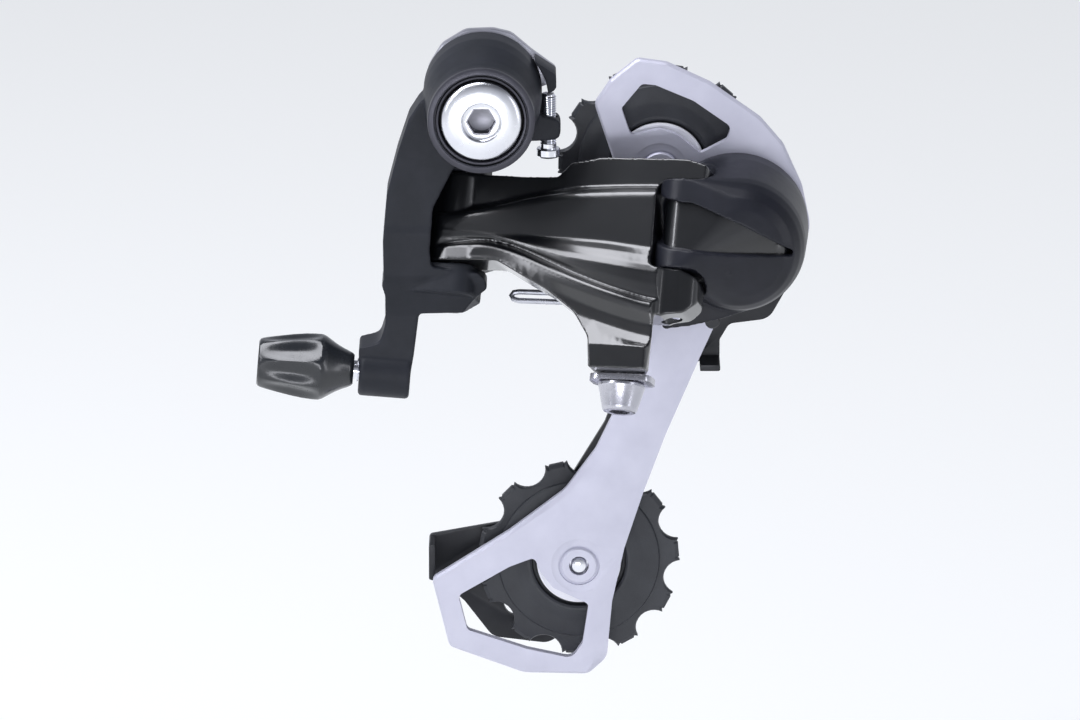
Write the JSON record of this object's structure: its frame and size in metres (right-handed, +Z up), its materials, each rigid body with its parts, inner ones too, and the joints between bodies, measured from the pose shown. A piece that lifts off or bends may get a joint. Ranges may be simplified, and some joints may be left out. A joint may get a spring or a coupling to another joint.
{
  "type": "rear bicycle derailleur",
  "caption": "Rear bicycle derailleur: slant parallelogram between two sprung knuckles, a cage with toothed guide and tension pulleys, a barrel adjuster and a cable clamp.",
  "frame": {"origin": "on the axis of the hanger bolt, in the face of the stopper plate that seats on the frame hanger", "axes": "+X to the front of the bicycle, +Y inboard to the wheel along the hanger bolt, +Z up"},
  "size_m": [0.1166, 0.0565, 0.1435],
  "materials": {
    "polished_steel": "turned and polished",
    "chrome": "bright plated",
    "black_steel": "black coated",
    "spring_steel": "bright wire",
    "satin_black": "satin black anodised",
    "gloss_black": "gloss black lacquer",
    "silver_plate": "satin silver",
    "pulley_plastic": "moulded dark grey",
    "cap_plastic": "white",
    "gloss_plastic": "gloss black",
    "bronze": "sintered",
    "rubber": "matt"
  },
  "bodies": {
    "hanger_axle": {"hanger_bolt": "polished_steel", "stopper_plate": "black_steel", "snap_ring": "spring_steel"},
    "b_knuckle": {"b_knuckle": "satin_black", "b_seal": "rubber", "b_bush": "bronze", "b_spring": "spring_steel", "adjuster_stem": "polished_steel", "outer_pin_b": "polished_steel", "inner_pin_b": "polished_steel"},
    "b_tension_screw": {"b_tension_screw": "polished_steel"},
    "high_limit_screw": {"high_limit_screw": "polished_steel"},
    "low_limit_screw": {"low_limit_screw": "polished_steel"},
    "barrel_adjuster": {"barrel_adjuster": "gloss_plastic"},
    "outer_link": {"outer_link": "gloss_black", "outer_pin_p": "polished_steel", "return_spring": "spring_steel"},
    "cable_anchor": {"anchor_bolt": "chrome", "anchor_plate": "chrome"},
    "inner_link": {"inner_link": "black_steel"},
    "p_knuckle": {"p_knuckle": "satin_black", "inner_pin_p": "polished_steel", "p_spring": "spring_steel", "p_seal": "rubber"},
    "cage": {"p_axle": "polished_steel", "outer_plate": "silver_plate", "inner_plate": "black_steel", "stop_pin": "black_steel", "guide_bush": "bronze", "guide_cap_outer": "cap_plastic", "guide_cap_inner": "cap_plastic", "guide_bolt": "polished_steel", "tension_bush": "bronze", "tension_cap_outer": "cap_plastic", "tension_cap_inner": "cap_plastic", "tension_bolt": "polished_steel"},
    "guide_pulley": {"guide_pulley": "pulley_plastic"},
    "tension_pulley": {"tension_pulley": "pulley_plastic"}
  },
  "joints": [
    {"name": "b_pivot", "type": "hinge", "parent": "hanger_axle", "child": "b_knuckle", "pos_m": [0, 0, 0], "axis": [0, 1, 0], "range_deg": [0, 20], "stiffness_Nm_per_rad": 0.6, "springref_deg": -45.84},
    {"name": "b_tension_screw_turn", "type": "slide", "parent": "b_knuckle", "child": "b_tension_screw", "axis": [0, 0, 1], "range_m": [-0.003, 0]},
    {"name": "high_limit_screw_turn", "type": "slide", "parent": "b_knuckle", "child": "high_limit_screw", "axis": [1, 0, 0], "range_m": [-0.002, 0]},
    {"name": "low_limit_screw_turn", "type": "slide", "parent": "b_knuckle", "child": "low_limit_screw", "axis": [1, 0, 0], "range_m": [-0.002, 0]},
    {"name": "barrel_adjuster_turn", "type": "hinge", "parent": "b_knuckle", "child": "barrel_adjuster", "pos_m": [-0.0151, -0.011, -0.0582], "axis": [-0.9966, 0, 0.0819], "continuous": true},
    {"name": "outer_link_pivot", "type": "hinge", "parent": "b_knuckle", "child": "outer_link", "pos_m": [-0.0051, -0.0064, -0.0275], "axis": [0.0898, 0.4692, 0.8785], "range_deg": [0, 50], "stiffness_Nm_per_rad": 0.8, "springref_deg": -40.11, "deforming": ["return_spring"]},
    {"name": "inner_link_pivot", "type": "hinge", "parent": "b_knuckle", "child": "inner_link", "pos_m": [-0.00833, 0.00425, -0.03286], "axis": [0.0898, 0.4692, 0.8785], "range_deg": [0, 50]},
    {"name": "cable_anchor_slide", "type": "slide", "parent": "outer_link", "child": "cable_anchor", "axis": [-0.0898, -0.4692, -0.8785], "range_m": [0, 0.002]},
    {"name": "p_knuckle_pivot", "type": "hinge", "parent": "outer_link", "child": "p_knuckle", "pos_m": [0.04132, -0.01848, -0.02579], "axis": [0.0898, 0.4692, 0.8785], "range_deg": [-50, 0]},
    {"name": "cage_pivot", "type": "hinge", "parent": "p_knuckle", "child": "cage", "pos_m": [0.0535, 0, -0.0285], "axis": [0, -1, 0], "range_deg": [0, 100], "stiffness_Nm_per_rad": 0.3, "springref_deg": -85.94},
    {"name": "guide_pulley_spin", "type": "hinge", "parent": "cage", "child": "guide_pulley", "pos_m": [0.0375, 0.009, -0.0175], "axis": [0, 1, 0], "continuous": true},
    {"name": "tension_pulley_spin", "type": "hinge", "parent": "cage", "child": "tension_pulley", "pos_m": [0.0205, 0.009, -0.1048], "axis": [0, 1, 0], "continuous": true}
  ],
  "couplings": [
    {"joint": "inner_link_pivot", "follows": "outer_link_pivot", "ratio": 1},
    {"joint": "p_knuckle_pivot", "follows": "outer_link_pivot", "ratio": -1}
  ]
}
